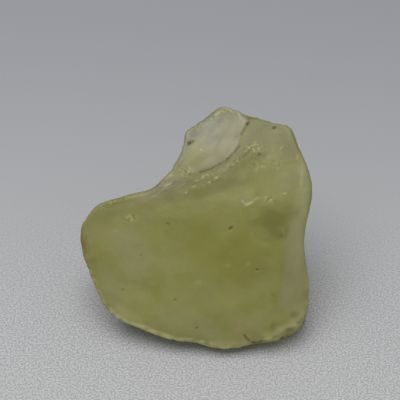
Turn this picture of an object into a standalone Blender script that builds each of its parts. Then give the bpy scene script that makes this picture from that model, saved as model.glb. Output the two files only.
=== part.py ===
"""Libyan desert glass: one chunk of natural glass, small enough for a palm, broken to shape.

The chunk is what is left inside a set of fracture faces. Each face is flat, gently domed or a
shell-shaped scoop, and is given by where it looks and how far it stands from the heart of the
stone. A ball of points is pushed out along its own rays until each meets the nearest face, the
arrises between faces are worn round, slow swells are laid over all of it, and the underside is
cut flat where the stone rests.

Frame: metres, +Z up, the stone resting on z = 0 with its box centred on the origin in X and Y.
The broad smooth face looks along -Y and up, and the stone's length runs along X.
"""

import math
from collections import namedtuple

import bmesh
import bpy
import numpy as np

NODE = "desert_glass"
COLLECTION = "libyan_desert_glass"
MM = 0.001

# Every size below is in millimetres, and every angle in degrees.
HEART = (2.0, -2.0, 13.5)  # inside the stone; every face's reach is measured from here
BALL_CENTRE = (3.0, 0.5, 15.0)  # the ball's rays start here, from where every face is in sight

# azimuth, elevation: where the face looks; azimuth 0 is along +X and 90 along +Y
# reach: how far the face stands from the heart
# bend: radius of a domed face; negative for a scoop; 0 for a flat one
# wear: width of the worn arris where this face meets those listed before it
Face = namedtuple("Face", "name azimuth elevation reach bend wear")
FACES = (
    Face("front", -94, 39, 5.7, 100, 0.0),
    Face("upper lobe", -92, 62, 8.2, 0, 2.0),
    Face("right side scar", -35, 18, 14.5, -40, 2.0),
    Face("ridge band", -126, 64, 9.9, 0, 0.6),
    Face("right", -2, 0, 16.5, -38, 1.0),
    Face("back", 65, 11, 15.0, -25, 0.8),
    Face("back upper left", 117, 0, 13.8, 0, 0.8),
    Face("back right", 24, -10, 15.4, 0, 1.0),
    Face("back foot", 95, -30, 12.6, -16, 1.5),
    Face("left under", 179, -27, 19.0, 0, 0.8),
    Face("front left under", -128, -57, 17.0, 0, 0.8),
    Face("front under", -108, -55, 17.4, 0, 0.8),
    Face("front right under", -82, -45, 18.9, 0, 0.8),
    Face("low right", -62, -25, 20.4, 0, 0.8),
    Face("right corner", -30, -14, 20.9, 0, 1.0),
    Face("left shoulder", 138, 12, 16.5, 0, 0.8),
    Face("left tip", 170, 5, 21.7, 0, 0.8),
    Face("fresh scoop", 141, 78, 11.8, -23, 0.3),
)

# Two break faces that meet in a hollow corner: only what lies outside both is gone.
# fillet: width over which the hollow corner is rounded
Notch = namedtuple("Notch", "first second fillet wear")
NOTCHES = (
    Notch(
        Face("crest", 102, 29.5, 8.7, 0, 0.0),
        Face("scoop flank", 140, 6, 7.5, -20, 0.0),
        fillet=1.5,
        wear=0.8,
    ),
)

SWELL_LENGTH = 7.0
SWELL_HEIGHT = 0.4  # from trough to crest at most
EVEN_FACE = 0.35  # side of the even faces that the stone is remade with
EASE_FACTOR = 0.5
EASE_ROUNDS = 3
TRIANGLE_SHARE = 0.12  # of the even faces' triangles, the share that the finished stone keeps

BALL_SUBDIVISIONS = 7
RAY_STEPS = 80
FAR = 100.0  # further out than any face
TINY = 1e-9  # keeps a wear of nothing from dividing by zero

GROUND_SIDE = 200.0
GROUND_DEPTH = 50.0

GLASS_COLOUR = (0.36, 0.37, 0.13, 1.0)
GLASS_ROUGHNESS = 0.45
GLASS_IOR = 1.46


def direction(azimuth, elevation):
    """The unit vector that looks this way."""
    a, e = math.radians(azimuth), math.radians(elevation)
    return np.array((math.cos(e) * math.cos(a), math.cos(e) * math.sin(a), math.sin(e)))


def beyond(face, points):
    """How far each point lies outside one face, negative on the stone's side of it."""
    look = direction(face.azimuth, face.elevation)
    offset = points - np.array(HEART)
    if face.bend == 0:
        return offset @ look - face.reach
    centre = look * (face.reach - face.bend)
    distance = np.linalg.norm(offset - centre, axis=1)
    return distance - face.bend if face.bend > 0 else -face.bend - distance


def worn(first, second, width):
    """The greater of two distances, with the arris between them rounded over this width."""
    near = np.maximum(width - np.abs(first - second), 0)
    return np.maximum(first, second) + near * near / (4 * max(width, TINY))


def outside(points):
    """How far each point lies outside the stone, negative inside it."""
    result = np.full(len(points), -FAR)
    for face in FACES:
        result = worn(result, beyond(face, points), face.wear)
    for notch in NOTCHES:
        first, second = beyond(notch.first, points), beyond(notch.second, points)
        result = worn(result, -worn(-first, -second, notch.fillet), notch.wear)
    return result


def surface_points(rays):
    """Where each ray from the ball's centre first leaves the stone.

    Each step is as long as the nearest face is far, so no step can jump over one.
    """
    start = np.array(BALL_CENTRE)
    travel = np.zeros(len(rays))
    for _ in range(RAY_STEPS):
        travel -= outside(start + rays * travel[:, None])
    return start + rays * travel[:, None]


def clear_scene():
    for obj in list(bpy.data.objects):
        bpy.data.objects.remove(obj, do_unlink=True)


def new_collection(name):
    collection = bpy.data.collections.new(name)
    bpy.context.scene.collection.children.link(collection)
    return collection


def linked_object(name, bm, collection):
    """The bmesh as an object in this collection."""
    mesh = bpy.data.meshes.new(name)
    bm.to_mesh(mesh)
    bm.free()
    obj = bpy.data.objects.new(name, mesh)
    collection.objects.link(obj)
    return obj


def broken_chunk(collection):
    """A ball whose points have moved out to the fracture faces."""
    bm = bmesh.new()
    bmesh.ops.create_icosphere(bm, subdivisions=BALL_SUBDIVISIONS, radius=1.0)
    rays = np.array([vert.co.normalized() for vert in bm.verts], dtype=float)
    for vert, point in zip(bm.verts, surface_points(rays)):
        vert.co = point * MM
    return linked_object(NODE, bm, collection)


def remake_evenly(stone):
    """Even faces all over, with the ball's stretched ones and their steps gone."""
    even = stone.modifiers.new("Even faces", "REMESH")
    even.mode = "VOXEL"
    even.voxel_size = EVEN_FACE * MM
    ease = stone.modifiers.new("Ease", "SMOOTH")
    ease.factor = EASE_FACTOR
    ease.iterations = EASE_ROUNDS


def lay_swells(stone):
    """The slow swells that wind and sand leave on every face."""
    swell = bpy.data.textures.new("swell", "CLOUDS")
    swell.noise_scale = SWELL_LENGTH * MM
    swell.noise_depth = 1
    displace = stone.modifiers.new("Swells", "DISPLACE")
    displace.texture = swell
    displace.texture_coords = "LOCAL"
    displace.strength = SWELL_HEIGHT * MM


def thin_triangles(stone):
    """Fewer triangles where the stone is flat, and close ones kept along its arrises."""
    fewer = stone.modifiers.new("Fewer triangles", "DECIMATE")
    fewer.ratio = TRIANGLE_SHARE


def cut_underside(stone, collection):
    """The flat at z = 0 that the stone rests on."""
    bm = bmesh.new()
    bmesh.ops.create_cube(bm, size=1.0)
    bmesh.ops.scale(bm, vec=(GROUND_SIDE * MM, GROUND_SIDE * MM, GROUND_DEPTH * MM), verts=bm.verts)
    bmesh.ops.translate(bm, vec=(0, 0, -GROUND_DEPTH * MM / 2), verts=bm.verts)
    ground = linked_object("ground", bm, collection)
    ground.display_type = "WIRE"
    ground.hide_render = True
    cut = stone.modifiers.new("Flat underside", "BOOLEAN")
    cut.operation = "DIFFERENCE"
    cut.solver = "EXACT"
    cut.object = ground


def centre_on_origin(stone):
    """Moves the stone along the ground until its box is centred on the origin."""
    bpy.context.view_layer.update()
    finished = stone.evaluated_get(bpy.context.evaluated_depsgraph_get())
    corners = np.array(finished.bound_box)
    middle = (corners.min(axis=0) + corners.max(axis=0)) / 2
    stone.location.x, stone.location.y = -middle[0], -middle[1]


def glass_material():
    material = bpy.data.materials.new("desert_glass")
    material.use_nodes = True
    shader = material.node_tree.nodes["Principled BSDF"]
    shader.inputs["Base Color"].default_value = GLASS_COLOUR
    shader.inputs["Roughness"].default_value = GLASS_ROUGHNESS
    shader.inputs["Metallic"].default_value = 0.0
    shader.inputs["IOR"].default_value = GLASS_IOR
    return material


def main():
    clear_scene()
    stone = broken_chunk(new_collection(COLLECTION))
    remake_evenly(stone)
    lay_swells(stone)
    thin_triangles(stone)
    cut_underside(stone, new_collection("cutters"))
    centre_on_origin(stone)
    stone.data.materials.append(glass_material())
    stone.data.shade_smooth()


main()
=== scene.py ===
"""Looks of a chunk of Libyan desert glass, in a plain pale studio.

The CAD stone's surface is remade in small even faces. Its arrises are made keen, its outline is
nicked, and swells, pits, chips, pale specks and cracks are worked into it. What lies where is stored
on the mesh as masks from 0 to 1, and the glass takes its colour and its gloss from them. Part of
that colour is painted light and shade: pale painted glints on chips and small edges, a painted glow
on the thin low edges and the undersides, and painted shade on faces that the softbox lights
brightly and along the low edge. The marks that the photograph shows are placed by where they show
in its frame. The hidden sides carry others of the same kinds at random places.
"""

import math
from collections import namedtuple

import bmesh
import bpy
import numpy as np
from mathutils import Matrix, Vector, noise


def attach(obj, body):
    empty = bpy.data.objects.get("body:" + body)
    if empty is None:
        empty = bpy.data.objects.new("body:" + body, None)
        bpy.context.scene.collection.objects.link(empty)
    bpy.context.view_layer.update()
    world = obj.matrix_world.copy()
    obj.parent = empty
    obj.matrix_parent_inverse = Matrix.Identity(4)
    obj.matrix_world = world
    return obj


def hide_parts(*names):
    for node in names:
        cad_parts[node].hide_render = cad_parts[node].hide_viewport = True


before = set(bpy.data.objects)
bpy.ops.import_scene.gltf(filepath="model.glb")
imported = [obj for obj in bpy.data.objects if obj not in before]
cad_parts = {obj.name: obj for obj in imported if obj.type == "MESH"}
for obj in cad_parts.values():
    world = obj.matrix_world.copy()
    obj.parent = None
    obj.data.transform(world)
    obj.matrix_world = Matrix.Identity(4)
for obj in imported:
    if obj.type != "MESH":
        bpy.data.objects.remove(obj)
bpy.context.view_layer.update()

NODE = "desert_glass"
MM = 0.001

# ---------------------------------------------------------------- camera, in millimetres and degrees
CAMERA_AIM = (0.76, 8.17, 14.0)
CAMERA_DISTANCE = 205.0
CAMERA_ELEVATION = 45.0
VIEW_WIDTH = 70.7  # what the frame takes in from side to side at the aim
SENSOR_WIDTH = 36.0
CLIP_START = 10.0
FRAME_PIXELS = 400  # a place "in the frame" below is (x, y) in a square this wide, from its top left
PIXEL = VIEW_WIDTH / FRAME_PIXELS  # millimetres that a pixel of the frame takes in at the aim

# ---------------------------------------------------------------- the skin's shape, in millimetres
WELD_DISTANCE = 0.001
EVEN_FACE = 0.23  # side of the faces that the skin is made of
SMOOTH_ROUNDS = 14  # takes the coarse solid's flats out
SHRINK, GROW = 0.5, -0.53  # one round's two steps, which keep the volume

# How far a point stands proud is measured against its surroundings, blurred this many rounds.
SHARPEN_ROUNDS = 16
ARRIS_ROUNDS = 30
THIN_ROUNDS = 90  # far enough to tell where the stone is thin near an edge

# A pair below is where a thing begins and where it is whole, as step() takes it.
SHARPEN_PROUD = (0.03, 0.12)
ARRIS_PROUD = (0.04, 0.30)
HOLLOW_SUNK = (0.04, 0.25)
THIN_PROUD = (0.05, 0.5)
UPPER = (9.0, 14.0)  # the upper part of the stone, by height
LOW = (15.0, 9.0)  # the part near the ground, by height
FACING = (-0.05, 0.1)  # cosine of the angle between the surface's normal and the way to the camera
UNDERNEATH = (-0.05, -0.3)  # height of the unit normal

SHARPEN = 0.9  # of what an arris stands proud, the share that it gains to become keen again
SETTLE_ROUNDS = 2
SHARPEN_OFF_SCOOP = (1.5, 4.0)  # the arris along the scoop's edge isn't made keen
FLATTEN_OFF_SCOOP = (2.4, 0.8)  # it is flattened
FLATTEN_ROUNDS = 24

FOOT_HEIGHT = 0.25  # nothing is worked into the skin below this
NIP_HEIGHT = (0.5, 2.5)  # a nip leaves what is lower than this on the ground

SWELL_LENGTH, SWELL_HEIGHT = 3.6, 0.06
FINE_LENGTH, FINE_HEIGHT = 1.0, 0.013
SCOOP_SMOOTHER = 0.7  # the share of the fine relief that the scoop lacks
NICK_SPACING = 1.2
NICK_EDGE = (0.5, 0.2)  # off a nick's middle, where it ends and is whole, in shares of the spacing
NICK_DEPTH = 0.04
LOW_NICK_DEPTH = 0.13  # what the nicks gain near the ground
RAGGED_NICK_DEPTH = 0.12  # and where chips have left the low edge ragged
BAND_HEIGHT = 0.055
BAND_EDGE = (1.9, 0.7)  # off the band's line, where it ends and is whole
BAND_RAGGEDNESS = 0.25  # the share of a mark's raggedness that its edge has
STREAK_ACROSS, STREAK_ALONG = 0.4, 2.6
HOLLOW_DEPTH = 0.4
HOLLOW_CLOUDINESS = 0.4  # the share of a zone's cloudiness that its edge has
CHIP_SIZE, CHIP_HEIGHT = 0.5, 0.05
# Ripples spread over the broken back and sides from where the blows fell
BLOWS = ((17.0, 12.0, 27.0), (-16.0, 9.0, 17.0), (4.0, 16.0, 1.0))
RIPPLE_LENGTH, RIPPLE_HEIGHT = 2.3, 0.05
RIPPLE_BEND = 0.5  # millimetres that a swell bends the ripples
RIPPLE_PATCH = 5.0  # size of the patches that the ripples lie in
RIPPLE_PATCHY = (-0.3, 0.5)  # the patches' noise, where there is no ripple and where it is whole

# ---------------------------------------------------------------- what shows in the frame
# Places below are (x, y) in the frame. Sizes are in millimetres.
SCOOP_OUTLINE = (
    (250.2, 108), (250.0, 115), (247.9, 122.6), (241, 134), (238.7, 144.4), (234.1, 151.3), (225, 159.3),
    (211, 167.3), (199.7, 171.3), (186, 175), (165, 176), (165, 150), (180, 120), (210, 100), (240, 98),
)
SCOOP_EDGE = SCOOP_OUTLINE[1:9]  # its sharp lower right edge
# The pale right side, from the arris where it meets the broad front face outwards
RIGHT_SIDE = (
    (299, 152), (303, 168), (302.5, 180), (300.5, 188), (296.5, 197), (292.5, 211), (289.5, 225), (285, 243),
    (285.5, 262), (284.5, 280), (280, 294), (280, 306), (296, 318), (325, 318), (325, 152),
)
RIGHT_ARRIS = ((300, 166), (301.8, 174), (301.3, 182), (299.6, 189), (296.8, 196), (294, 205))
SCOOP_SOFTNESS, SIDE_SOFTNESS = 0.7, 4.5  # how soft the two outlines are, in pixels
SIDE_ARRIS_EDGE = (0.55, 0.1)  # off the arris, where its painted highlight ends and is whole
SIDE_PALER, SIDE_DULLER = (185, 215), (262, 292)  # how far down the side turns pale, and dull again
SIDE_SHARE, SIDE_GAIN = 0.45, 0.35  # how strongly the side shows, and what it gains where it is pale
SIDE_GRAIN = (0.5, 0.5, 3.0)  # size of its grain along X, Y and Z
SIDE_GRAININESS = 0.3
# The rough band below the scoop, and the way that its streaks run, in degrees as turn below
BAND_TURN = 25.0
BAND_LINE = ((152, 190), (171, 184), (190, 179.5), (208, 174), (222, 168), (236, 159), (246, 150))

MARK_EDGE = (0.62, 0.1)  # off a mark's middle, where it ends and is whole, in shares of its width
LINE_EDGE = (0.75, 0.15)  # the same for a line
RAGGEDNESS = 0.45  # how far noise moves a mark's edge
EDGE_NOISE, ZONE_NOISE = 0.55, 2.8  # size of the noise that moves a mark's edge, and a zone's
BREAK_NOISE = 0.8  # size of the noise that breaks the lines up
LINE_BREAKS = (-0.35, 0.1)  # that noise, where a line is gone and where it is whole

# x, y: its middle; across: its width; depth: how far it goes in, negative where it stands proud
# long: its length over its width; turn: the way it runs, in degrees anticlockwise from rightwards
Mark = namedtuple("Mark", "x y across depth long turn", defaults=(1.0, 0.0))
PITS = (
    Mark(189.6, 142.7, 0.7, 0.22, 2.0, 35),
    Mark(193.0, 140.8, 0.4, 0.12, 1.3, 0),
    Mark(247.7, 123.4, 0.55, 0.2, 1.9, 50),
    Mark(240.6, 134.0, 0.35, 0.1),
    Mark(274.1, 127.9, 0.6, 0.2, 1.3, 10),
    Mark(230.7, 228.4, 0.6, 0.18, 1.8, 35),
    Mark(257.5, 269.5, 0.4, 0.12, 1.7, 0),
    Mark(168.0, 223.5, 0.6, 0.06, 1.5, -10),
    Mark(140.5, 255.5, 0.4, 0.06),
    Mark(122.5, 290.0, 0.4, 0.08, 1.4, 0),
    Mark(175.0, 300.0, 0.5, 0.08, 1.6, 15),
    Mark(197.0, 328.0, 0.4, 0.1, 1.4, 0),
    Mark(246.4, 338.4, 0.5, 0.2, 1.5, -45),
    Mark(190.2, 173.8, 0.4, 0.14, 1.3, 20),
    Mark(259.4, 154.7, 0.45, 0.1, 1.8, 20),
)
# Where the outline steps in by the depth, or stands out by it
# turn: the way the outline runs there, with the stone on its left hand
NIPS = (
    Mark(288.5, 338.5, 3.4, 0.6, 1.4, 22),
    Mark(259.0, 346.0, 3.4, 0.55, 1.9, 5),
    Mark(198.0, 347.0, 4.0, 0.6, 2.0, -12),
    Mark(108.0, 313.5, 3.4, 0.45, 1.2, -40),
    Mark(297.5, 138.0, 5.0, 0.5, 1.8, 112),
    Mark(166.5, 170.5, 3.0, 0.4, 1.2, -135),
    Mark(247.0, 112.0, 3.0, 0.4, 1.2, 155),
    Mark(306.0, 271.0, 5.0, -0.3, 1.8, 88),
    Mark(309.5, 303.0, 3.6, 0.3, 1.4, 88),
    Mark(78.5, 239.0, 3.4, 0.35, 1.3, -86),
    Mark(90.5, 272.0, 5.0, -0.16, 1.6, -71),
)
# Bites out of the lower right edge, which scallop it
BITES = (
    Mark(246.0, 348.0, 1.8, 0.14, 1.6, 5),
    Mark(262.0, 345.0, 1.7, 0.22, 1.6, 5),
    Mark(272.5, 343.0, 1.3, 0.2, 1.5, 12),
    Mark(284.5, 338.5, 1.7, 0.20, 1.5, 25),
    Mark(293.5, 334.5, 1.3, 0.12, 1.5, 30),
    Mark(300.5, 329.5, 1.4, 0.2, 1.5, 40),
    Mark(306.5, 321.0, 1.5, 0.26, 1.5, 65),
)
# Patches of small chips, which the glass shows as pale painted glints beside dark painted shadows; here
# depth is how thickly the chips lie
CHIPS = (
    Mark(186.0, 171.0, 2.3, 0.75, 1.4, 15),
    Mark(252.5, 148.0, 2.6, 0.62, 1.7, 8),
    Mark(281.8, 150.0, 0.8, 0.7, 2.6, 75),
    Mark(130.0, 218.5, 1.9, 0.7, 1.6, 0),
    Mark(269.0, 200.0, 1.7, 0.65, 1.7, -8),
    Mark(199.0, 125.5, 1.3, 0.4, 2.4, 40),
    Mark(288.0, 332.5, 2.2, 0.35, 2.4, 25),
    Mark(300.0, 326.0, 1.8, 0.3, 2.0, 50),
    Mark(270.0, 340.5, 1.4, 0.65, 3.4, 8),
    Mark(276.0, 163.0, 2.6, 0.25, 1.0, 0),
    Mark(205.0, 176.5, 1.0, 0.5, 4.5, 25),
    Mark(258.0, 165.0, 2.4, 0.3, 1.6, 0),
    Mark(235.0, 162.0, 1.2, 0.45, 3.2, 35),
    Mark(108.0, 204.0, 1.0, 0.5, 4.0, 32),
    Mark(130.0, 197.5, 1.0, 0.4, 3.0, 10),
)
PIT_SHARE, PIT_SHARE_PER_MM = 0.3, 4.0  # how dark a pit is, and how much darker for its depth
GLINT_SHARE, FAINT_GLINT_SHARE = 0.9, 0.28  # how pale the two kinds of painted glints are painted
# Painted glints: small pale specks painted where tiny chip facets catch the light. Here depth is how far one
# stands proud
PAINTED_GLINTS = (
    Mark(186.0, 192.5, 0.45, 0.05, 1.5, 30),
    Mark(194.0, 186.8, 0.4, 0.05, 1.2, 30),
    Mark(203.7, 185.4, 0.35, 0.05),
    Mark(209.5, 182.2, 0.4, 0.05, 1.3, 30),
    Mark(216.6, 177.6, 0.55, 0.06, 1.7, 45),
    Mark(184.0, 184.0, 0.3, 0.04),
    Mark(297.4, 157.6, 0.3, 0.04, 3.0, 82),
    Mark(201.0, 149.6, 0.4, 0.05, 1.6, 0),
)
# Fainter painted glints
FAINT_PAINTED_GLINTS = (
    Mark(256.0, 169.6, 0.5, 0.02, 1.6, 0),
    Mark(253.6, 202.0, 0.7, 0.02, 1.3, 35),
    Mark(268.6, 157.0, 0.6, 0.02),
    Mark(277.8, 169.0, 0.4, 0.02, 3.0, 88),
    Mark(115.0, 231.0, 0.7, 0.02, 1.5, 0),
    Mark(251.5, 234.0, 0.7, 0.02),
    Mark(248.3, 264.3, 0.8, 0.02, 1.3, 0),
    Mark(227.8, 266.0, 0.8, 0.02),
    Mark(197.0, 283.5, 1.0, 0.02, 1.8, 0),
    Mark(268.0, 294.0, 0.45, 0.02, 2.0, 80),
    Mark(257.5, 271.3, 0.3, 0.02, 2.4, 0),
    Mark(294.0, 267.5, 0.4, 0.02, 1.9, 85),
)

# Thin broken lines. points: where one runs; depth as above; share: how strongly it shows
Line = namedtuple("Line", "points width depth share")
# Painted glints: pale lines painted where small steps and edges catch the light
PAINTED_GLINT_LINES = (
    Line(((242.8, 201.5), (246.7, 205.6), (250.5, 203.4), (254.0, 201.5)), 0.42, -0.06, 0.9),
    Line(((255.5, 199.4), (258, 197.8), (261.5, 198.8)), 0.3, -0.03, 0.6),
    Line(((272, 197.4), (277, 196.9), (281, 195.8), (284, 193.6), (286.5, 194)), 0.28, -0.05, 0.85),
    Line(((211, 118), (218, 113.4), (225.5, 110.5)), 0.45, 0.0, 0.9),
    Line(((195, 128), (201, 123.5), (207, 119.5)), 0.3, 0.0, 0.2),
    Line(((164, 187), (171.5, 183)), 0.28, -0.03, 0.7),
    Line(((254, 342), (261, 341.5), (270, 338.0)), 0.3, -0.04, 0.85),
    Line(((284, 336.5), (291, 331), (297, 328.5), (303, 323)), 0.35, -0.04, 0.65),
)
# Dark lines, partly painted shadow: those along the low edge are the shadow under it, those along the
# scoop's edge dull the light that it catches
DARK_AND_SHADOW_LINES = (
    Line(((250.5, 112), (249.6, 117), (247.3, 122.8), (241.0, 134.0)), 0.45, 0.03, 0.35),
    Line(((239.2, 146), (234.6, 152.2), (225.4, 160.3), (211.4, 168.4), (197, 173.4)), 0.42, 0.05, 0.5),
    Line(((243.8, 334.5), (247.5, 339.5), (253, 342.5)), 0.34, 0.08, 1.0),
    Line(((253, 342.8), (259, 342.6), (264.5, 340.6)), 0.34, 0.08, 1.0),
    Line(((280.5, 339.6), (285.2, 336.8), (290, 335.0)), 0.26, 0.05, 0.5),
    Line(((271.0, 291), (274.0, 297)), 0.25, 0.02, 0.4),
    Line(((284.5, 228), (282, 236), (279.0, 240)), 0.7, 0.03, 0.3),
)

# Broad soft places in the glass. across, long and turn as above; share: how strongly it shows
Zone = namedtuple("Zone", "x y across share long turn", defaults=(1.0, 0.0))
# Milky places
HAZES = (
    Zone(132, 252, 11.0, 0.8, 1.5, -75),
    Zone(112, 290, 6.0, 0.8, 2.0, -62),
    Zone(190, 326, 8.0, 0.75, 2.4, -14),
    Zone(250, 325, 7.0, 0.6, 1.6, 8),
    Zone(292, 287, 5.5, 0.8, 1.6, 80),
    Zone(288, 170, 6.0, 0.35, 1.5, 80),
    Zone(262, 133, 2.4, 0.7, 1.6, 60),
    Zone(268, 158, 2.2, 0.7, 1.4, 20),
    Zone(292, 147, 1.6, 0.6, 2.8, -70),
    Zone(180, 169, 3.2, 0.5, 1.8, 55),
    Zone(276, 134, 10.5, 0.65, 1.5, -30),
    Zone(266, 203, 3.5, 0.4, 2.6, 5),
    Zone(93, 229, 5.0, 0.45, 2.0, 60),
)
# Dark, dull places in the glass, and painted shade: darkening over faces that the softbox lights brightly,
# and painted shadow beside the low right edge
DEEPS_AND_PAINTED_SHADES = (
    Zone(272, 224, 9.0, 0.4, 1.2, -40),
    Zone(275, 219.5, 5.0, 0.85, 1.6, 12),
    Zone(259, 222, 2.8, 0.55, 1.6, 0),
    Zone(275, 231, 3.4, 0.75, 1.4, -60),
    Zone(286.5, 232, 1.6, 0.7, 2.6, 74),
    Zone(267, 239, 1.6, 0.5, 1.6, 10),
    Zone(245, 262, 10.0, 0.36, 1.8, -25),
    Zone(235, 254, 6.0, 0.44, 1.8, -10),
    Zone(236, 175, 7.0, 0.3, 1.6, 25),
    Zone(198, 219, 9.5, 0.26, 1.8, 5),
    Zone(105, 212, 5.0, 0.4, 1.8, 35),
    Zone(203, 290, 6.0, 0.25, 1.5, 10),
    Zone(289.5, 329.0, 1.3, 0.75, 1.8, 16),
    Zone(294.5, 314.5, 1.3, 0.65, 1.6, 8),
    Zone(281.5, 339.5, 0.5, 0.6, 2.0, 28),
    Zone(273, 327, 1.5, 0.5, 1.4, 80),
    Zone(272, 140, 15.0, 0.25, 1.6, -25),
    Zone(249, 164, 4.2, 0.5, 1.9, 22),
    Zone(192, 179, 5.5, 0.36, 2.2, 25),
    Zone(258, 156, 2.0, 0.6, 2.6, 22),
    Zone(222, 164, 1.6, 0.4, 2.6, 36),
    Zone(262, 173, 3.0, 0.3, 2.6, 10),
    Zone(91, 261, 1.6, 0.5, 1.8, 15),
    Zone(187, 196, 1.5, 0.5, 1.8, 10),
    Zone(215, 184, 4.4, 0.55, 2.6, 18),
    Zone(198, 194, 3.6, 0.65, 2.8, 14),
    Zone(233, 171, 2.8, 0.50, 2.4, 32),
    Zone(248, 178, 3.0, 0.45, 1.6, 20),
    Zone(196, 205, 3.8, 0.30, 3.0, 10),
    Zone(118, 203, 2.6, 0.3, 2.4, 14),
)
# Painted glow: places painted paler, standing in for light that comes through thin glass and for light on
# faces that sit in shade
PAINTED_GLOWS = (
    Zone(268, 339, 3.4, 0.50, 3.0, 8),
    Zone(288, 332, 4.4, 0.62, 1.8, 28),
    Zone(302, 321, 3.4, 0.50, 1.8, 60),
    Zone(296, 331.5, 2.4, 0.95, 4.0, 44),
    Zone(266, 343, 1.6, 0.75, 4.4, 8),
    Zone(303, 306, 3.0, 0.18, 2.0, 85),
    Zone(230, 346, 2.2, 0.35, 5.0, 2),
    Zone(120, 313, 4.2, 0.26, 2.4, -30),
    Zone(300, 237, 3.8, 0.34, 2.8, 85),
    Zone(301.8, 176, 0.9, 0.32, 6.0, 86),
    Zone(288, 232, 2.0, 0.10, 2.4, 80),
    Zone(306, 216, 3.0, 0.30, 3.8, 85),
    Zone(88, 256, 2.0, 0.12, 2.4, -75),
    Zone(205, 298, 7.0, 0.18, 3.6, 0),
    Zone(143, 302, 6.0, 0.17, 2.0, -34),
    Zone(262, 283, 5.0, 0.10, 1.8, 0),
    Zone(248, 320, 5.0, 0.13, 2.4, 0),
    Zone(280, 318, 3.0, 0.12, 2.0, 0),
    Zone(190, 262, 5.0, 0.08, 2.4, -10),
    Zone(250, 270, 5.0, 0.08, 1.6, -10),
)
# Where the glass is clearest and its colour strongest
CLEARS = (
    Zone(230, 254, 10.0, 0.55, 1.5, -8),
)
# Brown, dirty places, and painted shade over upturned faces that the softbox lights brightly
DRABS_AND_PAINTED_SHADES = (
    Zone(256, 138, 6.5, 0.5, 1.6, 55),
    Zone(286, 145, 5.5, 0.5, 1.5, -70),
    Zone(182, 178, 4.5, 0.5, 1.8, 30),
    Zone(257, 338, 3.0, 0.4, 1.6, -20),
    Zone(155, 200, 3.4, 0.55, 5.0, 14),
    Zone(217, 184, 4.4, 0.70, 2.4, 18),
    Zone(232, 170, 2.6, 0.50, 2.4, 34),
    Zone(115, 202, 2.2, 0.60, 2.4, 20),
)
# Grey places and painted shade, mostly at the upper right and along the outer edges of the scoop and the
# right side, dimming faces that the softbox lights brightly
GREYS_AND_PAINTED_SHADES = (
    Zone(278, 133, 10.5, 0.24, 1.5, -30),
    Zone(308.5, 188, 1.5, 0.25, 4.6, 87),
    Zone(196, 131, 2.4, 0.95, 2.8, 52),
    Zone(207, 119, 1.8, 0.85, 2.6, 38),
    Zone(187, 149, 1.8, 0.40, 3.0, 68),
    Zone(206, 131, 2.6, 0.35, 2.0, 45),
    Zone(181, 160, 1.8, 0.45, 3.0, 60),
    Zone(296, 180, 4.0, 0.25, 2.0, 85),
    Zone(165, 186, 3.0, 0.30, 3.0, 14),
    Zone(304.5, 173, 1.8, 0.40, 3.4, -84),
    Zone(245, 202, 2.2, 0.28, 2.0, 5),
    Zone(206, 203, 2.4, 0.16, 3.4, 4),
)
# The palest places in the scoop
SCOOP_PALES = (
    Zone(238, 126, 3.4, 0.95, 2.2, 48),
    Zone(224, 126, 2.6, 0.5, 1.8, 35),
    Zone(229, 145, 3.9, 1.0, 1.6, 42),
    Zone(212, 163, 2.6, 0.8, 2.2, 30),
)
# Where the scoop's paleness dies away
SCOOP_FADES = (
    Zone(186, 162, 9.0, 0.6, 1.6, 60),
    Zone(194, 131, 2.2, 0.75, 2.6, 62),
    Zone(206, 117, 2.0, 0.65, 2.8, 38),
)
# Where the low edge is as plain as the face beside it
PLAIN_EDGES = (
    Zone(94.5, 281, 3.0, 0.6, 4.4, -71),
)
RAGGED = Zone(285, 334, 6.0, 1.0, 3.2, 22)  # where chips have left the low edge ragged
HOLLOW = Zone(272, 222, 8.0, 1.0, 1.15, -50)  # the dent in the front face, at the right
STAIN = Zone(83.0, 243.5, 2.3, 1.0, 2.4, -72)  # rust at the left tip

# ---------------------------------------------------------------- marks on the hidden sides
SCATTER_SEED = 7
SCATTER_HEIGHT = 1.0  # no mark's middle is lower
SCATTER_FACING = 0.01  # and none faces the camera by this much
SCATTER_SIZES = (0.5, 1.4)  # the least and the greatest width, over the usual one
SCATTER_SQUEEZES = (0.45, 1.8)  # what a mark is squeezed by along X, Y and Z, at least and at most
# count; across: usual width; depth: how far it goes in; share: how strongly it shows
Scatter = namedtuple("Scatter", "count across depth share")
SCATTERED_PITS = Scatter(34, 0.8, 0.16, 1.0)
# Scattered painted glints: pale specks on the hidden sides
SCATTERED_PAINTED_GLINTS = Scatter(30, 0.7, 0.0, 0.7)
SCATTERED_CHIPS = Scatter(9, 3.0, 0.0, 0.55)
HIDDEN_ARRIS_CHIPS = 0.8  # how thickly chips lie along the hidden arrises

# ---------------------------------------------------------------- how strongly places show
# Noise lays haze and dark places over the hidden sides: its size, and where they begin and are whole
HAZE_SIZE, HAZE_EDGE = 8.0, (0.0, 0.7)
DEEP_SIZE, DEEP_EDGE = 6.0, (0.1, 0.7)
# Of these, the thin places' share is painted glow: thin low edges painted paler, standing in for light that
# comes through them
ARRIS_HAZE, THIN_PAINTED_GLOW, HIDDEN_HAZE = 0.3, 0.9, 0.7
# The hollowed share is painted shade, darkening the sunken places where shade falls
HOLLOW_PAINTED_SHADE, HIDDEN_DEEP = 0.3, 0.5
BAND_DRAB, STREAK_DRAB = 0.75, 0.5
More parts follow.
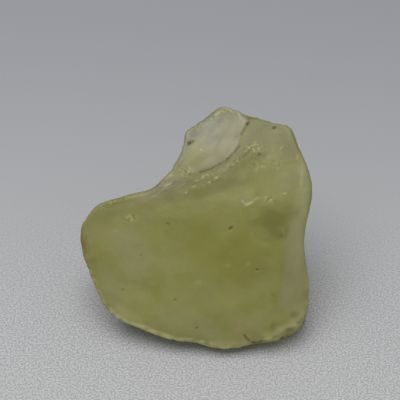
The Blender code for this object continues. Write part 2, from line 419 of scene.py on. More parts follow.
# Painted shade runs along the scoop's edge, dulling the light that its worn arris catches: a dark line on
# the edge, with fainter painted shade beside it; the pairs are millimetres off the edge
LIP_EDGE, SHADE_EDGE = (0.6, 0.15), (1.7, 0.3)
SHADE = 0.6
SHADE_OUTSIDE = 0.4  # what is left of the shade outside the scoop
SIDE_ARRIS_HIGHLIGHT = 0.5
PAINTED_GLOW_OFF_SCOOP = (0.8, 2.4)  # the painted glow on the low arrises keeps this far off the scoop's edge
HIDDEN_PAINTED_GLOW = 0.5
NICKED_PAINTED_GLOW = 0.4  # what a nick takes from the painted glow

# ---------------------------------------------------------------- the glass
GLASS_IOR = 1.46
TRANSMISSION = 0.6
ABSORPTION_COLOUR = (0.86, 0.875, 0.14, 1.0)
ABSORPTION_DENSITY = 80.0  # per metre
OLIVE = (0.300, 0.285, 0.050, 1)
MOSS = (0.345, 0.330, 0.085, 1)
GREENER = (0.268, 0.300, 0.064, 1)
BROWNER = (0.385, 0.322, 0.122, 1)
# The haze tint is milky glass, and painted glow where the stone is thin near its low edges
HAZE_AND_GLOW_TINT = (0.375, 0.355, 0.165, 1)
# The deep tint serves both dark glass and painted shade
DEEP_AND_SHADE_TINT = (0.150, 0.142, 0.012, 1)
# The glow tint is painted light, standing in for light through thin glass and on shaded undersides
PAINTED_GLOW_TINT = (0.760, 0.730, 0.360, 1)
CLEAR = (0.345, 0.330, 0.004, 1)
# The drab tint serves both brown dirt and painted shade
DRAB_AND_SHADE_TINT = (0.190, 0.162, 0.050, 1)
# The dimmed tint is grey glass and painted shade
GREY_AND_SHADE_TINT = (0.160, 0.156, 0.095, 1)
FRESH = (0.334, 0.322, 0.184, 1)
FRESH_DULL = (0.268, 0.243, 0.149, 1)
FRESH_PALE = (0.450, 0.442, 0.276, 1)
# The bruised tint is painted light, the pale of the painted glints
PAINTED_GLINT_TINT = (0.600, 0.570, 0.225, 1)
STAINED = (0.262, 0.166, 0.032, 1)
# The greyed tint is the right side's grey, and the painted highlight along its arris
SIDE_GREY_AND_HIGHLIGHT_TINT = (0.410, 0.385, 0.205, 1)
# The soiled tint serves dark pits and painted shadow
SOILED_AND_SHADOW_TINT = (0.100, 0.068, 0.020, 1)
CLOUD_SIZE, PATCH_SIZE, WISP_SIZE = 7.0, 3.2, 1.5  # sizes of the glass's noises, in millimetres
STREAK_SIZE, FLAKE_SIZE, GRAIN_SIZE = 1.0, 0.5, 0.3
STREAK_TURN = 44.0  # the way the scoop's streaks run, in degrees from +X
STREAK_STRETCH = 5.0
GRAIN_ROUGHNESS = (0.42, 0.56)
FRESH_SMOOTHER = 0.12
PIT_ROUGHER = 0.35
DEEP_ROUGHER = 0.3
BUMP_STRENGTH = 0.3
BUMP_DEPTH = 0.05  # millimetres
CHIP_BUMP = 1.5  # a chip's height over a grain's

# ---------------------------------------------------------------- the studio, in metres and degrees
FLOOR_SIDE = 6.0
FLOOR_DROP = 0.03 * MM
FLOOR_FAR_Y, FLOOR_NEAR_Y = 0.10, -0.045  # the floor is painted lighter towards the camera between these, a painted sheen of the softbox
FLOOR_FAR = (0.175, 0.178, 0.190, 1)
FLOOR_NEAR_SHEEN = (0.275, 0.275, 0.272, 1)
FLOOR_ROUGHNESS = 0.8
FLOOR_GRAIN_SIZE = 0.30  # millimetres
FLOOR_GRAIN_STRENGTH = 0.26

SKY_COLOUR = (0.94, 0.955, 1.0, 1)
SKY_STRENGTH = 0.68
KEY_AZIMUTH = 180.0  # where the softbox hangs, seen from the stone; 90 is straight behind it
KEY_ELEVATION = 80.0
KEY_DISTANCE = 0.6
KEY_SIDE = 0.5
KEY_WATTS = 4.3


def step(low, high, x):
    """0 below low, 1 above high and a smooth rise between; low may be the greater."""
    t = np.clip((x - low) / (high - low), 0, 1)
    return t * t * (3 - 2 * t)


def highest(*values):
    """The greatest of several values at each point."""
    return np.maximum.reduce(values)


def partly(factor, share):
    """A factor with only this share of its effect, and 1 for the rest."""
    return 1 - share + share * factor


# ---------------------------------------------------------------- camera

class View:
    """The photograph's view of the stone."""

    def __init__(self):
        e = math.radians(CAMERA_ELEVATION)
        self.back = np.array((0.0, -math.cos(e), math.sin(e)))
        self.right = np.array((1.0, 0.0, 0.0))
        self.up = np.cross(self.back, self.right)
        self.eye = np.array(CAMERA_AIM) + CAMERA_DISTANCE * self.back
        self.pixel = VIEW_WIDTH / CAMERA_DISTANCE / FRAME_PIXELS  # a pixel's width a millimetre away

    def place(self, points):
        """Where each point shows in the frame."""
        offset = points - self.eye
        depth = -(offset @ self.back)
        half = FRAME_PIXELS / 2
        across = half + offset @ self.right / depth / self.pixel
        down = half - offset @ self.up / depth / self.pixel
        return np.stack((across, down), axis=1)

    def make_camera(self):
        data = bpy.data.cameras.new("camera")
        data.sensor_width = SENSOR_WIDTH
        data.lens = SENSOR_WIDTH * CAMERA_DISTANCE / VIEW_WIDTH
        data.clip_start = CLIP_START * MM
        camera = bpy.data.objects.new("camera", data)
        camera.location = self.eye * MM
        camera.rotation_euler = (math.radians(90 - CAMERA_ELEVATION), 0, 0)
        bpy.context.scene.collection.objects.link(camera)
        bpy.context.scene.camera = camera


# ---------------------------------------------------------------- skin

def even_mesh(node):
    """The CAD stone's surface remade in small even faces."""
    bm = bmesh.new()
    bm.from_mesh(node.data)
    bmesh.ops.remove_doubles(bm, verts=bm.verts, dist=WELD_DISTANCE * MM)
    rough = bpy.data.meshes.new("rough")
    bm.to_mesh(rough)
    bm.free()
    holder = bpy.data.objects.new("holder", rough)
    bpy.context.scene.collection.objects.link(holder)
    remesh = holder.modifiers.new("Even faces", "REMESH")
    remesh.mode = "VOXEL"
    remesh.voxel_size = EVEN_FACE * MM
    evaluated = holder.evaluated_get(bpy.context.evaluated_depsgraph_get())
    mesh = bpy.data.meshes.new_from_object(evaluated)
    bpy.data.objects.remove(holder)
    return mesh


class Skin:
    """The stone's surface, in millimetres."""

    def __init__(self, mesh, view):
        self.mesh = mesh
        self.view = view
        self.points = np.empty(len(mesh.vertices) * 3)
        mesh.vertices.foreach_get("co", self.points)
        self.points = self.points.reshape(-1, 3) / MM
        self.edges = np.empty(len(mesh.edges) * 2, dtype=int)
        mesh.edges.foreach_get("vertices", self.edges)
        self.edges = self.edges.reshape(-1, 2)
        ends = np.concatenate((self.edges[:, 0], self.edges[:, 1]))
        self.valence = np.bincount(ends, minlength=len(self.points))

    def mean_of_neighbours(self, values):
        """Each point's mean over the points that an edge joins it to."""
        a, b = self.edges[:, 0], self.edges[:, 1]
        count = len(self.points)
        values = values.reshape(count, -1)
        total = np.empty_like(values)
        for k in range(values.shape[1]):
            column = values[:, k]
            total[:, k] = np.bincount(a, column[b], count) + np.bincount(b, column[a], count)
        return total / self.valence[:, None]

    def blurred(self, values, rounds):
        for _ in range(rounds):
            values = self.mean_of_neighbours(values).reshape(values.shape)
        return values

    def smooth(self, rounds):
        for _ in range(rounds):
            for share in (SHRINK, GROW):
                self.points += share * (self.mean_of_neighbours(self.points) - self.points)

    def proud(self, rounds):
        """How far each point stands out from its surroundings, blurred this many times."""
        return ((self.points - self.blurred(self.points, rounds)) * self.normals()).sum(axis=1)

    def normals(self):
        self.store()
        flat = np.empty(len(self.points) * 3)
        self.mesh.vertices.foreach_get("normal", flat)
        return flat.reshape(-1, 3)

    def heights(self):
        return self.points[:, 2]

    def push(self, distance):
        """Moves each point outwards along its normal by this many millimetres."""
        self.points += self.normals() * distance[:, None]

    def store(self):
        self.mesh.vertices.foreach_set("co", (self.points * MM).ravel())
        self.mesh.update()

    def facing_camera(self):
        """1 where the surface faces the photograph's camera, 0 where it faces away."""
        towards = self.view.eye - self.points
        towards /= np.linalg.norm(towards, axis=1)[:, None]
        return step(*FACING, (towards * self.normals()).sum(axis=1))

    def attribute(self, name, values):
        layer = self.mesh.attributes.new(name, "FLOAT", "POINT")
        layer.data.foreach_set("value", np.asarray(values, dtype=np.float32))


def lumps(points, size, octaves, seed):
    """Smooth noise, about -1 to 1, with lumps of this size in millimetres."""
    shift = Vector((seed, seed * 0.7, -seed))
    return np.array(
        [noise.fractal(Vector(p) / size + shift, 1.0, 2.0, octaves) for p in points.tolist()]
    )


def cells(points, size, seed):
    """Distance to the nearest of scattered centres, in cells of this size."""
    shift = Vector((seed, -seed * 0.6, seed * 1.3))
    return np.array([noise.voronoi(Vector(p) / size + shift)[0][0] for p in points.tolist()])


def turned(right, down, turn):
    """How far each place lies along and across a line that runs this way, in degrees."""
    turn = math.radians(turn)
    along = right * math.cos(turn) - down * math.sin(turn)
    across = right * math.sin(turn) + down * math.cos(turn)
    return along, across


def off_line(places, corners):
    """Each place's distance to a line of straight runs, in pixels."""
    corners = np.array(corners, dtype=float)
    nearest = np.full(len(places), np.inf)
    for a, b in zip(corners, corners[1:]):
        run = b - a
        t = np.clip((places - a) @ run / (run @ run), 0, 1)
        nearest = np.minimum(nearest, np.linalg.norm(places - a - t[:, None] * run, axis=1))
    return nearest


def inside_outline(places, outline, soft):
    """1 inside a closed outline in the frame, 0 outside it, with an edge this soft in pixels."""
    corners = np.array(outline, dtype=float)
    closed = np.concatenate((corners, corners[:1]))
    crossings = np.zeros(len(places), dtype=int)
    for a, b in zip(closed, closed[1:]):
        if a[1] == b[1]:
            continue
        straddles = (a[1] > places[:, 1]) != (b[1] > places[:, 1])
        reach = a[0] + (places[:, 1] - a[1]) / (b[1] - a[1]) * (b[0] - a[0])
        crossings += straddles & (places[:, 0] < reach)
    off = off_line(places, closed)
    return step(-soft, soft, np.where(crossings % 2 == 1, off, -off))


class Seen:
    """What shows in the frame, and how to lay marks on it."""

    def __init__(self, skin):
        self.places = skin.view.place(skin.points)
        self.facing = skin.facing_camera()
        self.ragged = 1 + RAGGEDNESS * lumps(skin.points, EDGE_NOISE, octaves=2, seed=21.0)
        self.cloudy = 1 + RAGGEDNESS * lumps(skin.points, ZONE_NOISE, octaves=3, seed=27.0)
        self.broken = step(*LINE_BREAKS, lumps(skin.points, BREAK_NOISE, octaves=2, seed=33.0))

    def blot(self, mark, edge=None, through=False):
        """1 in a mark's middle, falling to 0 at its ends, with an edge that is ragged or as given.

        The mark lies on the side that faces the camera, or goes right through the stone.
        """
        right, down = (self.places - (mark.x, mark.y)).T * PIXEL
        along, across = turned(right, down, mark.turn)
        off = np.hypot(along / mark.long, across) * (self.ragged if edge is None else edge)
        shape = mark_shape(off, mark.across)
        return shape if through else shape * self.facing

    def zones(self, zones):
        """The greatest share that any of these zones has at each point."""
        return highest(np.zeros(len(self.places)), *(z.share * self.blot(z, self.cloudy) for z in zones))

    def off(self, corners):
        """Each point's distance to a line in the frame, in millimetres."""
        return off_line(self.places, corners) * PIXEL

    def line(self, line):
        """1 along a thin broken line, 0 off it."""
        off = self.off(line.points) * self.ragged
        begins, whole = LINE_EDGE[0] * line.width, LINE_EDGE[1] * line.width
        return step(begins, whole, off) * self.broken * self.facing


def mark_shape(off, across):
    """1 in the middle of a mark this wide, falling to 0 at its edge, by the distance off its middle."""
    return step(MARK_EDGE[0] * across, MARK_EDGE[1] * across, off)


def sharpen_arrises(skin):
    """Takes out the solid's flats and makes its arrises keen, apart from the one along the scoop."""
    skin.smooth(SMOOTH_ROUNDS)
    proud = skin.proud(SHARPEN_ROUNDS)
    off_scoop = off_line(skin.view.place(skin.points), SCOOP_EDGE) * PIXEL
    skin.push(SHARPEN * proud * step(*SHARPEN_PROUD, proud) * step(*SHARPEN_OFF_SCOOP, off_scoop))
    skin.smooth(SETTLE_ROUNDS)
    flat = step(*FLATTEN_OFF_SCOOP, off_scoop) * skin.facing_camera() * step(*UPPER, skin.heights())
    skin.points += flat[:, None] * (skin.blurred(skin.points, FLATTEN_ROUNDS) - skin.points)


def nip_outline(skin):
    """Brings the outline in or out at its nips, and leaves the foot on the ground."""
    seen = Seen(skin)
    moved = np.zeros_like(skin.points)
    for mark in NIPS:
        turn = math.radians(mark.turn)
        outward = math.sin(turn) * skin.view.right - math.cos(turn) * skin.view.up
        moved -= mark.depth * seen.blot(mark, 1.0, through=True)[:, None] * outward
    moved[:, 2] *= step(*NIP_HEIGHT, skin.heights())
    skin.points += moved


class Features:
    """Where each kind of place lies on the skin, mostly as shares from 0 to 1."""

    def __init__(self, skin, seen):
        proud = skin.proud(ARRIS_ROUNDS)
        self.arris = step(*ARRIS_PROUD, proud)
        self.hollowed = step(*HOLLOW_SUNK, -proud)
        self.nicks = step(*NICK_EDGE, cells(skin.points, NICK_SPACING, seed=9.0))
        self.swell = lumps(skin.points, SWELL_LENGTH, octaves=2, seed=1.0)
        self.upper = step(*UPPER, skin.heights())
        self.low = step(*LOW, skin.heights())
        self.underneath = step(*UNDERNEATH, skin.normals()[:, 2]) * seen.facing
        self.hidden = 1 - seen.facing
        self.off_scoop_edge = seen.off(SCOOP_EDGE)  # in millimetres
        self.scoop = inside_outline(seen.places, SCOOP_OUTLINE, SCOOP_SOFTNESS) * seen.facing * self.upper
        self.side = inside_outline(seen.places, RIGHT_SIDE, SIDE_SOFTNESS) * seen.facing
        self.side_arris_highlight = step(*SIDE_ARRIS_EDGE, seen.off(RIGHT_ARRIS)) * seen.facing
        band_off = seen.off(BAND_LINE) * partly(seen.ragged, BAND_RAGGEDNESS)
        self.band = step(*BAND_EDGE, band_off) * (1 - self.scoop) * seen.facing * self.upper
        right, down = seen.places.T * PIXEL
        along, across = turned(right, down, BAND_TURN)
        stretched = np.stack((across / STREAK_ACROSS, along / STREAK_ALONG, 0 * along), axis=1)
        self.streaks = lumps(stretched, 1.0, octaves=2, seed=4.0)


def ripples(skin, on):
    """The ripples on the hidden sides, in millimetres."""
    blow_off = np.min([np.linalg.norm(skin.points - blow, axis=1) for blow in BLOWS], axis=0)
    phase = 2 * math.pi * (blow_off + RIPPLE_BEND * on.swell) / RIPPLE_LENGTH
    patchy = step(*RIPPLE_PATCHY, lumps(skin.points, RIPPLE_PATCH, octaves=1, seed=61.0))
    return RIPPLE_HEIGHT * np.sin(phase) * patchy * on.hidden


def relief(skin, seen, on):
    """How far all but the single marks move each point outwards, in millimetres."""
    fine = lumps(skin.points, FINE_LENGTH, octaves=2, seed=5.0)
    move = SWELL_HEIGHT * on.swell * (1 - on.scoop) + FINE_HEIGHT * fine * (1 - SCOOP_SMOOTHER * on.scoop)
    nick_depth = NICK_DEPTH + LOW_NICK_DEPTH * on.low + RAGGED_NICK_DEPTH * seen.blot(RAGGED)
    move -= nick_depth * on.arris * on.nicks
    move += BAND_HEIGHT * on.band * on.streaks
    move -= HOLLOW_DEPTH * seen.blot(HOLLOW, partly(seen.cloudy, HOLLOW_CLOUDINESS))
    return move + ripples(skin, on)


def scattered(skin, seen, scatter, generator):
    """Marks at random places on the sides that the photograph doesn't show."""
    hidden = np.flatnonzero((seen.facing < SCATTER_FACING) & (skin.heights() > SCATTER_HEIGHT))
    total = np.zeros(len(skin.points))
    for index in generator.choice(hidden, scatter.count, replace=False):
        size = scatter.across * generator.uniform(*SCATTER_SIZES)
        squeeze = generator.uniform(*SCATTER_SQUEEZES, 3)
        distance = np.linalg.norm((skin.points - skin.points[index]) * squeeze, axis=1)
        total = np.maximum(total, mark_shape(distance * seen.ragged * seen.cloudy, size))
    return total * (1 - seen.facing)


class Marks:
    """The pits, chips, cracks and painted glints and shadow lines: where they show, and how far they move
    the skin.
    """

    def __init__(self, skin, seen, on):
        self.move = np.zeros(len(skin.points))  # outwards, in millimetres
        self.pits_and_shadow_lines = np.zeros(len(skin.points))
        self.painted_glint = np.zeros(len(skin.points))
        self.chip = np.zeros(len(skin.points))
        generator = np.random.default_rng(SCATTER_SEED)
        self.scatter(self.pits_and_shadow_lines, SCATTERED_PITS, skin, seen, generator)
        self.scatter(self.painted_glint, SCATTERED_PAINTED_GLINTS, skin, seen, generator)
        self.scatter(self.chip, SCATTERED_CHIPS, skin, seen, generator)
        for mark in PITS:
            share = min(1, PIT_SHARE + PIT_SHARE_PER_MM * mark.depth)
            self.lay(self.pits_and_shadow_lines, seen.blot(mark), mark.depth, share)
        for mark in BITES:
            self.move -= mark.depth * seen.blot(mark)
        for mark in PAINTED_GLINTS:
            self.lay(self.painted_glint, seen.blot(mark), -mark.depth, GLINT_SHARE)
        for mark in FAINT_PAINTED_GLINTS:
            self.lay(self.painted_glint, seen.blot(mark), -mark.depth, FAINT_GLINT_SHARE)
        for line in PAINTED_GLINT_LINES:
            self.lay(self.painted_glint, seen.line(line), line.depth, line.share)
        for line in DARK_AND_SHADOW_LINES:
            self.lay(self.pits_and_shadow_lines, seen.line(line), line.depth, line.share)
        for mark in CHIPS:
            self.lay(self.chip, seen.blot(mark, 1.0), 0.0, mark.depth)
        self.lay(self.chip, on.arris * on.nicks * on.hidden, 0.0, HIDDEN_ARRIS_CHIPS)
        self.move += CHIP_HEIGHT * self.chip * lumps(skin.points, CHIP_SIZE, octaves=2, seed=14.0)

    def lay(self, mask, shape, depth, share):
        """Sinks one mark into the skin by this depth, and shows it on its mask in this share."""
        self.move -= depth * shape
        np.maximum(mask, share * shape, out=mask)

    def scatter(self, mask, scatter, skin, seen, generator):
        self.lay(mask, scattered(skin, seen, scatter, generator), scatter.depth, scatter.share)


def glass_masks(skin, seen, on, marks):
    """What the glass is like at each point, by name, as shares from 0 to 1."""
    hidden_haze = step(*HAZE_EDGE, lumps(skin.points, HAZE_SIZE, octaves=2, seed=41.0)) * on.hidden
    hidden_deep = step(*DEEP_EDGE, lumps(skin.points, DEEP_SIZE, octaves=2, seed=52.0)) * on.hidden
    grained = lumps(skin.points / SIDE_GRAIN, 1.0, octaves=2, seed=71.0)
    keen = 1 - seen.zones(PLAIN_EDGES)
    thin = step(*THIN_PROUD, skin.proud(THIN_ROUNDS)) * on.low * keen
    fresh = on.scoop * (1 - seen.zones(SCOOP_FADES))

    height = seen.places[:, 1]
    paler = step(*SIDE_PALER, height) - step(*SIDE_DULLER, height)
    side = on.side * (SIDE_SHARE + SIDE_GAIN * paler) * (1 + SIDE_GRAININESS * grained)

    # Painted shade along the scoop's edge, where its worn arris catches the light
    shade = SHADE * step(*SHADE_EDGE, on.off_scoop_edge) * partly(on.scoop, 1 - SHADE_OUTSIDE)
    painted_lip_shade = highest(shade, step(*LIP_EDGE, on.off_scoop_edge)) * seen.facing * on.upper

    # Painted glow: the low arrises, the hidden arrises and the faces turned underneath are painted paler,
    # standing in for light through thin glass and making up for their shade
    off_scoop = step(*PAINTED_GLOW_OFF_SCOOP, on.off_scoop_edge) * (1 - on.scoop)
    painted_glow = off_scoop * on.low * keen * seen.facing + HIDDEN_PAINTED_GLOW * on.hidden
    painted_glow *= on.arris * (1 - NICKED_PAINTED_GLOW * on.nicks)

    upper_arris = on.arris * (1 - on.low) * (1 - on.scoop)
    # milky arrises and hidden sides, and painted glow on thin low edges
    hazy_and_glowing = highest(ARRIS_HAZE * upper_arris, THIN_PAINTED_GLOW * thin, HIDDEN_HAZE * hidden_haze)
    banded = on.band * (BAND_DRAB + STREAK_DRAB * on.streaks)
    return {
        "haze_and_thin_glow": highest(seen.zones(HAZES), hazy_and_glowing),
        # dark glass, and painted shade in sunken places and over brightly lit faces
        "deep_and_painted_shade": highest(seen.zones(DEEPS_AND_PAINTED_SHADES), HIDDEN_DEEP * hidden_deep, HOLLOW_PAINTED_SHADE * on.hollowed),
        "clear": seen.zones(CLEARS),
        # brown dirt and the rough band, with painted shade over brightly lit faces
        "drab_and_painted_shade": highest(seen.zones(DRABS_AND_PAINTED_SHADES) * (1 - fresh), banded),
        # grey glass and painted shade on the upper faces
        "grey_and_painted_shade": seen.zones(GREYS_AND_PAINTED_SHADES) * on.upper,
        "scoop": fresh,
        "scoop_pale": seen.zones(SCOOP_PALES) * on.scoop,
        "painted_lip_shade": painted_lip_shade,
        # the right side's grey, with a painted highlight along its arris
        "side": highest(side, SIDE_ARRIS_HIGHLIGHT * on.side_arris_highlight * seen.broken),
        "painted_glow": highest(painted_glow, on.underneath, seen.zones(PAINTED_GLOWS)),
        "stain": seen.blot(STAIN),
        "chip": marks.chip,
        "painted_glint": marks.painted_glint,
        "pits_and_shadow_lines": marks.pits_and_shadow_lines,
    }


def worked_skin(node, view):
    """The stone's skin with all that is worked into it, and the masks that its glass reads."""
    skin = Skin(even_mesh(node), view)
    sharpen_arrises(skin)
    nip_outline(skin)
    seen = Seen(skin)
    on = Features(skin, seen)
    marks = Marks(skin, seen, on)
    for name, values in glass_masks(skin, seen, on, marks).items():
        skin.attribute(name, values)
    move = relief(skin, seen, on) + marks.move
    move[skin.heights() < FOOT_HEIGHT] = 0
    skin.push(move)
    skin.points[:, 2] = np.maximum(skin.heights(), 0)
    skin.store()
    return skin


# ---------------------------------------------------------------- material

class Nodes:
    """Short ways to add and join a material's nodes."""

    MIX_SHARE, MIX_A, MIX_B, MIX_RESULT = 0, 6, 7, 2  # a Mix node's sockets for colours

    def __init__(self, name):
        self.material = bpy.data.materials.new(name)
        self.material.use_nodes = True
        self.tree = self.material.node_tree
        self.shader = self.tree.nodes["Principled BSDF"]
        self.out = self.tree.nodes["Material Output"]
        self.place = self.tree.nodes.new("ShaderNodeTexCoord").outputs["Object"]

    def join(self, source, socket):
        """Links an output to a socket, or sets the socket to a number or a colour."""
        if hasattr(source, "is_output"):
            self.tree.links.new(source, socket)
        else:
            socket.default_value = source

    def mask(self, name):
        node = self.tree.nodes.new("ShaderNodeAttribute")
        node.attribute_name = name
        return node.outputs["Fac"]

    def noise(self, size_mm, detail, roughness=0.5, distortion=0.0, place=None):
        node = self.tree.nodes.new("ShaderNodeTexNoise")
        node.inputs["Scale"].default_value = 1 / (size_mm * MM)
        node.inputs["Detail"].default_value = detail
        node.inputs["Roughness"].default_value = roughness
        node.inputs["Distortion"].default_value = distortion
        self.tree.links.new(place or self.place, node.inputs["Vector"])
        return node.outputs["Fac"]

    def drawn_out(self, turn, stretch):
        """Coordinates that draw a texture out by this much, the way given in degrees from +X."""
        node = self.tree.nodes.new("ShaderNodeMapping")
        node.vector_type = "TEXTURE"
        node.inputs["Rotation"].default_value = (0, 0, math.radians(turn))
        node.inputs["Scale"].default_value = (stretch, 1, 1)
        self.tree.links.new(self.place, node.inputs["Vector"])
        return node.outputs["Vector"]

    def math(self, operation, a, b=0.0):
        node = self.tree.nodes.new("ShaderNodeMath")
        node.operation = operation
        self.join(a, node.inputs[0])
        self.join(b, node.inputs[1])
        return node.outputs[0]

    def ramp(self, value, low, high, to_low=0.0, to_high=1.0):
        """A smooth rise from to_low, where the value is low, to to_high, where it is high."""
        node = self.tree.nodes.new("ShaderNodeMapRange")
        node.interpolation_type = "SMOOTHSTEP"
        for source, socket in zip((value, low, high, to_low, to_high), node.inputs):
            self.join(source, socket)
        return node.outputs[0]

    def mix(self, share, a, b, blend="MIX"):
        node = self.tree.nodes.new("ShaderNodeMix")
        node.data_type = "RGBA"
        node.blend_type = blend
        self.join(share, node.inputs[self.MIX_SHARE])
        self.join(a, node.inputs[self.MIX_A])
        self.join(b, node.inputs[self.MIX_B])
        return node.outputs[self.MIX_RESULT]

    def scaled(self, value, share):
        return self.math("MULTIPLY", value, share)

    def tint(self, colour, mask, to, share):
        """The colour, turned to another by this share where the mask is whole."""
        return self.mix(self.scaled(self.mask(mask), share), colour, to)


def glass_colour(n, raised_chips_and_glints, chip_painted_shadows):
    """The glass's colour, with its clouds, worn and broken places and marks, and painted light and shade."""
    cloud = n.noise(CLOUD_SIZE, detail=3.0, roughness=0.5, distortion=0.4)
    patch = n.noise(PATCH_SIZE, detail=3.0, roughness=0.6, distortion=0.8)
    wisp = n.noise(WISP_SIZE, detail=3.0, roughness=0.55, distortion=1.0)
    along_streaks = n.drawn_out(STREAK_TURN, STREAK_STRETCH)
    streak = n.noise(STREAK_SIZE, detail=2.0, roughness=0.5, distortion=0.5, place=along_streaks)

    colour = n.mix(n.ramp(cloud, 0.35, 0.68), OLIVE, MOSS)
    # Milky glass, with painted glow on thin low edges
    colour = n.tint(colour, "haze_and_thin_glow", HAZE_AND_GLOW_TINT, share=0.85)
    colour = n.mix(n.ramp(patch, 0.44, 0.66, 0.0, 0.45), colour, GREENER)
    colour = n.mix(n.ramp(wisp, 0.48, 0.72, 0.0, 0.32), colour, BROWNER)
    colour = n.tint(colour, "clear", CLEAR, share=0.8)
    # The right side's grey, with a painted highlight along its arris
    colour = n.tint(colour, "side", SIDE_GREY_AND_HIGHLIGHT_TINT, share=0.9)
    # Painted glow on thin edges and undersides
    colour = n.tint(colour, "painted_glow", PAINTED_GLOW_TINT, share=0.78)
    # Brown dirt, with painted shade over brightly lit faces
    colour = n.tint(colour, "drab_and_painted_shade", DRAB_AND_SHADE_TINT, share=0.85)
    # Dark glass, with painted shade in sunken places and over brightly lit faces
    colour = n.tint(colour, "deep_and_painted_shade", DEEP_AND_SHADE_TINT, share=0.8)
    fresh = n.mix(n.ramp(streak, 0.35, 0.65), FRESH_DULL, FRESH)
    colour = n.tint(colour, "scoop", fresh, share=1.0)
    colour = n.tint(colour, "scoop_pale", FRESH_PALE, share=0.85)
    # Grey glass, with painted shade over brightly lit faces
    colour = n.tint(colour, "grey_and_painted_shade", GREY_AND_SHADE_TINT, share=0.9)
    # Painted shade along the scoop's edge
    colour = n.tint(colour, "painted_lip_shade", DRAB_AND_SHADE_TINT, share=0.8)
    # Painted glints on the chips, with painted shadows beside them
    colour = n.mix(n.scaled(raised_chips_and_glints, 0.9), colour, PAINTED_GLINT_TINT)
    colour = n.mix(chip_painted_shadows, colour, SOILED_AND_SHADOW_TINT)
    # Painted glints on small steps and edges
    colour = n.tint(colour, "painted_glint", PAINTED_GLINT_TINT, share=0.85)
    colour = n.tint(colour, "stain", STAINED, share=0.9)
    # Dark pits, with painted shadow lines under the low edge and along the scoop's edge
    return n.tint(colour, "pits_and_shadow_lines", SOILED_AND_SHADOW_TINT, share=0.95)


def glass_material():
    n = Nodes("desert_glass")
    flake = n.noise(FLAKE_SIZE, detail=2.0, roughness=0.6)
    grain = n.noise(GRAIN_SIZE, detail=2.0, roughness=0.6)
    # The chips' raised specks carry painted glints; the specks beside them carry painted shadows
    raised_chips_and_glints = n.scaled(n.mask("chip"), n.ramp(flake, 0.49, 0.58))
    chip_painted_shadows = n.scaled(n.mask("chip"), n.ramp(flake, 0.44, 0.34, 0.0, 0.8))
    n.join(glass_colour(n, raised_chips_and_glints, chip_painted_shadows), n.shader.inputs["Base Color"])

    rough = n.ramp(grain, 0.3, 0.7, *GRAIN_ROUGHNESS)
    rough = n.math("SUBTRACT", rough, n.scaled(n.mask("scoop"), FRESH_SMOOTHER))
    rough = n.math("ADD", rough, n.scaled(n.mask("pits_and_shadow_lines"), PIT_ROUGHER))
    rough = n.math("ADD", rough, n.scaled(n.mask("deep_and_painted_shade"), DEEP_ROUGHER))
    n.join(rough, n.shader.inputs["Roughness"])
    n.shader.inputs["IOR"].default_value = GLASS_IOR
    n.shader.inputs["Transmission Weight"].default_value = TRANSMISSION

    bump = n.tree.nodes.new("ShaderNodeBump")
    bump.inputs["Strength"].default_value = BUMP_STRENGTH
    bump.inputs["Distance"].default_value = BUMP_DEPTH * MM
    n.join(n.math("ADD", grain, n.scaled(raised_chips_and_glints, CHIP_BUMP)), bump.inputs["Height"])
    n.join(bump.outputs["Normal"], n.shader.inputs["Normal"])

    absorb = n.tree.nodes.new("ShaderNodeVolumeAbsorption")
    absorb.inputs["Color"].default_value = ABSORPTION_COLOUR
    absorb.inputs["Density"].default_value = ABSORPTION_DENSITY
    n.join(absorb.outputs["Volume"], n.out.inputs["Volume"])
    return n.material


def make_stone(view):
    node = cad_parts[NODE]
    skin = worked_skin(node, view)
    stone = bpy.data.objects.new("stone", skin.mesh)
    bpy.context.scene.collection.objects.link(stone)
    skin.mesh.materials.clear()
    skin.mesh.materials.append(glass_material())
    skin.mesh.shade_smooth()
    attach(stone, "root")
    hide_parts(NODE)


# ---------------------------------------------------------------- studio

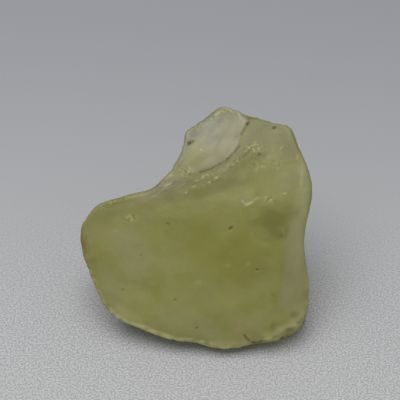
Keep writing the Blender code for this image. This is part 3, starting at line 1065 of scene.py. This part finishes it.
def floor_material():
    """Pale, painted lighter towards the camera as a painted sheen of the softbox, with a fine grain near the
    stone that dies away further off.
    """
    n = Nodes("floor")
    split = n.tree.nodes.new("ShaderNodeSeparateXYZ")
    n.join(n.place, split.inputs["Vector"])
    near = n.ramp(split.outputs["Y"], FLOOR_FAR_Y, FLOOR_NEAR_Y)
    grain = n.ramp(n.noise(FLOOR_GRAIN_SIZE, detail=1.0), 0.3, 0.7, -1.0, 1.0)
    grain = n.scaled(grain, n.ramp(near, 0.45, 0.9, 0.0, FLOOR_GRAIN_STRENGTH))
    grain = n.math("ADD", grain, 1.0)
    grey = n.tree.nodes.new("ShaderNodeCombineColor")
    for socket in grey.inputs:
        n.join(grain, socket)
    colour = n.mix(1.0, n.mix(near, FLOOR_FAR, FLOOR_NEAR_SHEEN), grey.outputs["Color"], "MULTIPLY")
    n.join(colour, n.shader.inputs["Base Color"])
    n.shader.inputs["Roughness"].default_value = FLOOR_ROUGHNESS
    return n.material


def make_floor():
    bpy.ops.mesh.primitive_plane_add(size=FLOOR_SIDE, location=(0, 0, -FLOOR_DROP))
    floor = bpy.context.object
    floor.name = "floor"
    floor.data.materials.append(floor_material())


def make_sky():
    world = bpy.data.worlds.new("studio")
    bpy.context.scene.world = world
    world.use_nodes = True
    sky = world.node_tree.nodes["Background"]
    sky.inputs["Color"].default_value = SKY_COLOUR
    sky.inputs["Strength"].default_value = SKY_STRENGTH


def make_softbox():
    light = bpy.data.lights.new("softbox", "AREA")
    light.size = KEY_SIDE
    light.energy = KEY_WATTS
    lamp = bpy.data.objects.new("softbox", light)
    azimuth, elevation = math.radians(KEY_AZIMUTH), math.radians(KEY_ELEVATION)
    level = math.cos(elevation)
    towards = Vector((level * math.cos(azimuth), level * math.sin(azimuth), math.sin(elevation)))
    lamp.location = towards * KEY_DISTANCE
    lamp.rotation_euler = towards.to_track_quat("Z", "Y").to_euler()
    bpy.context.scene.collection.objects.link(lamp)


view = View()
view.make_camera()
make_floor()
make_sky()
make_softbox()
bpy.context.scene.view_settings.view_transform = "Standard"
make_stone(view)
